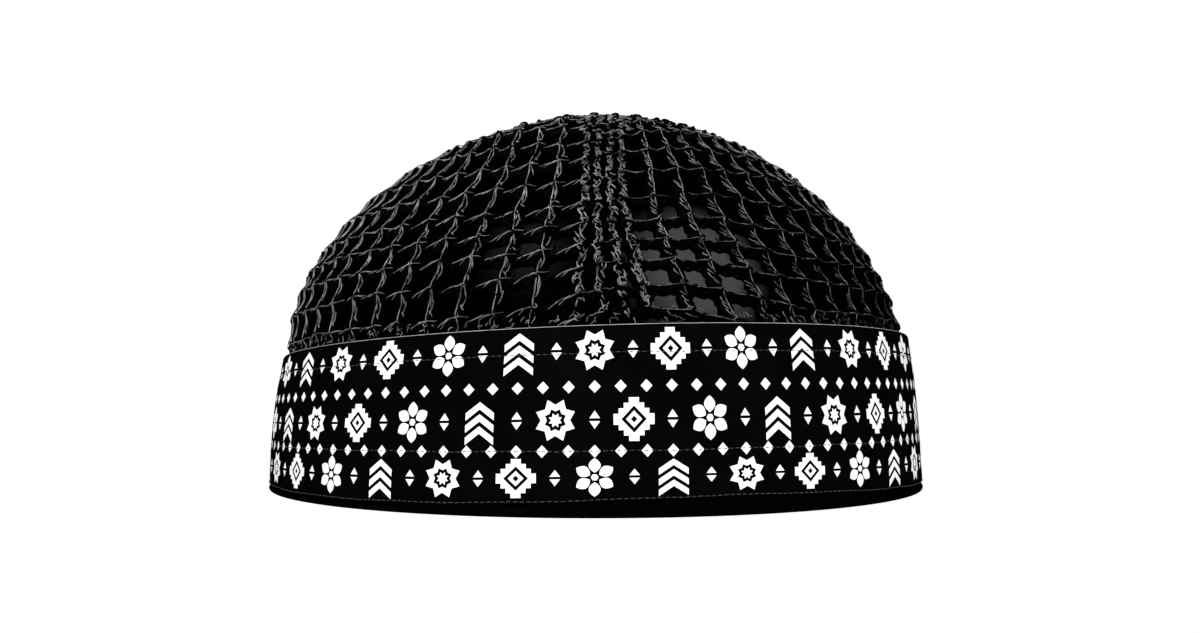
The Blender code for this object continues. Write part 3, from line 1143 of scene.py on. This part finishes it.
def rib_ropes():
    """Painted highlights of the rib's four ropes: upright light grey threads and knots."""
    arcs = np.arange(RIB_START, RIB_END, RIB_STITCH)
    arc, wale = np.meshgrid(arcs, np.arange(4) - RIB_HALF)
    arc, wale = arc.ravel(), wale.ravel()
    kept = random.random(len(arc)) < np.interp(arc / MM, [3, 11, 50, 66], [0.3, 1.0, 1.0, 0.62])
    arc, wale = arc[kept], wale[kept]
    count = len(arc)
    narrow = np.interp(arc, [15 * MM, 60 * MM], [1.0, 0.55])
    bundles = []
    for side in (-1, 1):
        place = arc + sizes(-0.6, 0.6, count)
        beside = side * random.uniform(0.35, 0.75, count) * narrow * MM
        turn = pi / 2 + random.choice([-1.0, 1.0], count) * random.uniform(0.1, 0.65, count)
        length = random.uniform(1.5, 2.8, count) * narrow**0.5 * MM
        bend = random.uniform(-0.35, 0.35, count) * narrow * MM
        azimuth = rib_place(place, wale, beside)
        bundles.append(strokes(place, azimuth, turn, length, bend, HIGHLIGHT_OUT + 0.2 * MM, THREAD * 1.1))
    some = random.random(count) < 0.8 * narrow
    arc, wale = arc[some], wale[some]
    turn = random.uniform(-0.9, 0.9, len(arc))
    length = sizes(0.8, 1.5, len(arc))
    bend = random.choice([-1.0, 1.0], len(arc)) * random.uniform(0.1, 0.5, len(arc)) * MM
    azimuth = rib_place(arc, wale, sizes(-0.3, 0.3, len(arc)))
    bundles.append(strokes(arc, azimuth, turn, length, bend, HIGHLIGHT_OUT + 0.35 * MM, THREAD * 1.2))
    return bundles


def node_loops(ends):
    """Painted highlights of small open loops round some of the nodes near the rib."""
    count = len(ends[0])
    shapes = curls((0, TAU), (0.9, 1.6), (0.3, 0.7), count)
    azimuth = ends[1] + sizes(-0.5, 0.5, count) / crown_radius(ends[0])
    arc = ends[0] + sizes(-0.7, 0.5, count)
    return strokes(arc, azimuth, *shapes, HIGHLIGHT_OUT + KNOB_LIFT, THREAD * 0.95)


def top_lumps():
    """Painted highlights of the crowded curls where the rib runs into the top of the crown."""
    arc = sizes(66, 102, TOP_LUMPS)
    azimuth = RIB_CENTRE + sizes(-7.5, 7.5, TOP_LUMPS) / crown_radius(arc)
    shapes = curls((0, pi), (0.9, 1.9), (-1.1, 1.1), TOP_LUMPS)
    out = HIGHLIGHT_OUT - TOP_SINK + sizes(0, 0.6, (TOP_LUMPS, 1))
    return strokes(arc, azimuth, *shapes, out, THREAD)


def edge_loops():
    """Painted highlights of the irregular looped edge between the band and the lowest gaps."""
    azimuth = random.uniform(0, TAU, EDGE_LOOPS)
    lowest = np.maximum(round_arc(FINE_ROUNDS[0], azimuth), EDGE_LEAST)
    arc = random.uniform(0.1, 1.0, EDGE_LOOPS) * lowest
    turn, length, bend = curls((0.1, 1.5), (0.9, 2.1), (-0.4, 0.5), EDGE_LOOPS)
    turn = turn * np.where(angle_from(azimuth, RIB_CENTRE) < 0, 1, -1)
    return strokes(arc, azimuth, turn, length, bend, HIGHLIGHT_OUT - 0.15 * MM, THREAD * 0.75)


CURLED_REACH = radians(19)
FAINT_REACH = radians(22)
FAINT_TOP = 37 * MM
BARBED_REACH = radians(-38)


def make_painted_highlights():
    """Light grey threads over the black net: painted highlights where the yarn would catch the light."""
    posts = picked(POSTS, ~in_rib(POSTS))
    left = left_highlight_kind(posts)
    low = posts[2] < 0
    curled = ~left & ~low & (angle_from(posts[1], RIB_CENTRE) < CURLED_REACH)
    straight = ~left & ~low & ~curled
    kinds = [(low, LOW_POST), (left & ~low, LOOPED_POST), (curled, CURLED_POST), (straight, STRAIGHT_POST)]
    bundles = sum([threads(picked(posts, mask), pattern) for mask, pattern in kinds], [])
    crochet("net_post_highlights", bundles, "yarn_painted_highlight")
    beside = angle_from(BARS[1], RIB_CENTRE)
    rib = in_rib(BARS)
    left = left_highlight_kind(BARS) & ~rib
    faint = ~left & ~rib & (np.abs(beside) < FAINT_REACH) & (BARS[0] < FAINT_TOP)
    barbed = left & (beside > BARBED_REACH) & (beside < 0)
    long = left & ~barbed
    thin = ~left & ~rib & ~faint
    linked = rib & (random.random(len(rib)) < LINK_CHANCE)
    kinds = [(barbed, BARBED_BAR), (long, LONG_BAR), (thin, THIN_BAR), (linked, FAINT_BAR)]
    bundles = sum([threads(picked(BARS, mask), pattern) for mask, pattern in kinds], [])
    bundles += threads(lowered(picked(BARS, faint), FAINT_DROP * BAR_DROP), FAINT_BAR)
    crochet("net_bar_highlights", bundles, "yarn_painted_highlight")
    loops = rib_ropes() + [top_lumps(), edge_loops()]
    loops.append(node_loops(chosen(NODES, LOOP_CHANCE * near_rib(NODES))))
    crochet("net_loop_highlights", loops, "yarn_painted_highlight")


ROSETTE_ROUNDS = 10
ROSETTE_STITCH = 3.2 * MM
ROSETTE_TWIST = 0.75 * MM
ROSETTE_DEPTH = 0.75 * MM
ROSETTE_POINTS = 6
ROSETTE_CHANCE = 0.8
STITCH_SIDE = 0.55 * MM


def make_rosette():
    """The close rounds at the top of the crown, with painted highlights of their V-shaped stitches."""
    start = np.interp(-ROSETTE_RADIUS, -RADII[ARCS >= 0], ARCS[ARCS >= 0])
    bodies, stitches = [], []
    for i in range(ROSETTE_ROUNDS):
        arc = start + (CROWN_ARC - start) * i / ROSETTE_ROUNDS
        count = max(int(round(TAU * float(crown_radius(arc)) / ROSETTE_STITCH)), 4)
        position = np.arange(count * ROSETTE_POINTS)[None] / ROSETTE_POINTS
        azimuth = position / count * TAU
        for j in range(2):
            turn = TAU * (position + j / 2) + i
            around = arc + ROSETTE_TWIST * np.sin(turn)
            points = on_crown(around, azimuth, 0.5 * MM * np.cos(turn) - ROSETTE_DEPTH)
            bodies.append((points, crown_out(around, azimuth), 1.3 * STRAND, BODY_SIDES, True))
        middle = (np.arange(count) + 0.5 * (i % 2)) * TAU / count
        for side in (-1, 1):
            some = middle[random.random(count) < ROSETTE_CHANCE]
            place = arc + side * STITCH_SIDE + sizes(-0.15, 0.15, len(some))
            turn, length, bend = curls((-0.2, 0.2), (1.6, 2.2), (-0.2, 0.3), len(some))
            stitches.append(strokes(place, some, side * 0.5 + turn, length, bend, 0, 0.85 * THREAD))
    crochet("rosette_rounds", bodies, "yarn_body", "crown_rosette")
    crochet("rosette_stitch_highlights", stitches, "yarn_painted_highlight")


make_band()
make_facing()
make_stitches()
make_fold_highlight()
make_print()
make_lining()
make_bodies()
make_painted_highlights()
make_rosette()


# The floor, the light and the camera

FLOOR_HALF = 6.0
FLOOR_DROP = 0.02 * MM
HAT_MIDDLE = (0.0, 0.0, 0.05)
WHITE = (1.0, 1.0, 1.0, 1.0)
FLOOR_ROUGHNESS = 0.9
FLOOR_LOOK = {"Base Color": (0.8, 0.8, 0.8, 1.0), "Emission Color": WHITE, "Emission Strength": 0.985}
WORLD_STRENGTH = 0.03
BACKDROP_STRENGTH = 1.1


def make_floor():
    """A plain white floor, as bright as the white behind the hat."""
    corners = [(FLOOR_HALF * x, FLOOR_HALF * y, 0) for x, y in ((-1, -1), (1, -1), (1, 1), (-1, 1))]
    mesh = bpy.data.meshes.new("floor")
    mesh.from_pydata(corners, [], [(0, 1, 2, 3)])
    floor = new_object("floor", mesh)
    floor.location.z = -FLOOR_DROP
    material, nodes, links, shader = new_material("floor_white", FLOOR_ROUGHNESS, 0.0)
    set_inputs(shader, FLOOR_LOOK)
    mesh.materials.append(material)
    floor.visible_diffuse = False
    floor.visible_glossy = False
    floor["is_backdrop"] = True


def make_world():
    """White behind the hat, and a dim even light on it."""
    world = bpy.data.worlds.new("studio")
    bpy.context.scene.world = world
    world.use_nodes = True
    nodes, links = world.node_tree.nodes, world.node_tree.links
    background = nodes["Background"]
    set_inputs(background, {"Color": WHITE, "Strength": WORLD_STRENGTH})
    seen = nodes.new("ShaderNodeBackground")
    set_inputs(seen, {"Color": WHITE, "Strength": BACKDROP_STRENGTH})
    path = nodes.new("ShaderNodeLightPath")
    mix = nodes.new("ShaderNodeMixShader")
    links.new(path.outputs["Is Camera Ray"], mix.inputs["Fac"])
    links.new(background.outputs["Background"], mix.inputs[1])
    links.new(seen.outputs["Background"], mix.inputs[2])
    links.new(mix.outputs["Shader"], nodes["World Output"].inputs["Surface"])


SPOT_BLEND = 0.15
SPOT_RADIUS = 5 * MM


def new_light(name, kind, place, aim, power, receivers):
    """A light that falls on some of the pieces only."""
    light = bpy.data.lights.new(name, kind)
    light.energy = power
    made = new_object(name, light)
    made.location = place
    made.rotation_mode = "QUATERNION"
    made.rotation_quaternion = (Vector(aim) - Vector(place)).to_track_quat("-Z", "Y")
    group = bpy.data.collections.new(name + "_receivers")
    for piece in receivers:
        group.objects.link(piece)
    made.light_linking.receiver_collection = group
    return light


def named(*starts):
    return [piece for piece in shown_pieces() if piece.name.startswith(starts)]


def make_lights():
    """Soft oblong lights for the band and the net, and narrow ones for the lining."""
    band = named("band", "facing", "print")
    net = named("net", "rosette")
    lining = named("lining")
    soft = [
        ("band_left", (-0.7, -0.8, 0.25), (0.7, 0.6), 9.0, band),
        ("band_right", (0.7, -0.8, 0.25), (0.7, 0.6), 9.0, band),
        ("band_front", (0.0, -1.0, 0.35), (0.7, 0.5), 7.0, band),
        ("band_back", (0.0, 1.0, 0.35), (0.9, 0.5), 10.0, band),
        ("net_left", (-0.60, -0.69, 0.38), (0.4, 0.5), 8.8, net),
        ("net_top", (-0.1, -0.3, 0.9), (0.6, 0.5), 3.0, net + band),
        ("net_right", (0.75, -0.45, 0.4), (0.4, 0.5), 0.25, net),
        ("net_back", (0.05, 1.0, 0.12), (0.6, 0.3), 6.0, net),
    ]
    for name, place, size, power, receivers in soft:
        light = new_light(name, "AREA", place, HAT_MIDDLE, power, receivers)
        light.shape = "RECTANGLE"
        light.size, light.size_y = size
    narrow = [
        ("lining_right", (0.166, -0.417, 0.222), (0.0232, -0.081, 0.0545), 4.2, 19.5),
        ("lining_left", (-0.160, -0.420, 0.222), (-0.0155, -0.080, 0.0575), 2.4, 3.6),
    ]
    for name, place, aim, degrees, power in narrow:
        light = new_light(name, "SPOT", place, aim, power, lining)
        light.spot_size = radians(degrees)
        light.spot_blend = SPOT_BLEND
        light.shadow_soft_size = SPOT_RADIUS


CAMERA_PLACE = (1.1 * MM, -290 * MM, 24.5 * MM)
CAMERA_PITCH = radians(5.09)
CAMERA_LENS = 27.95
SENSOR = 36.0


def make_camera():
    data = bpy.data.cameras.new("camera")
    data.lens = CAMERA_LENS
    data.sensor_width = SENSOR
    data.sensor_fit = "HORIZONTAL"
    data.clip_start = 0.01
    data.clip_end = 50.0
    camera = new_object("camera", data)
    camera.location = CAMERA_PLACE
    camera.rotation_euler = (pi / 2 + CAMERA_PITCH, 0.0, 0.0)
    bpy.context.scene.camera = camera


make_floor()
make_world()
make_lights()
make_camera()
bpy.context.scene.view_settings.view_transform = "Standard"
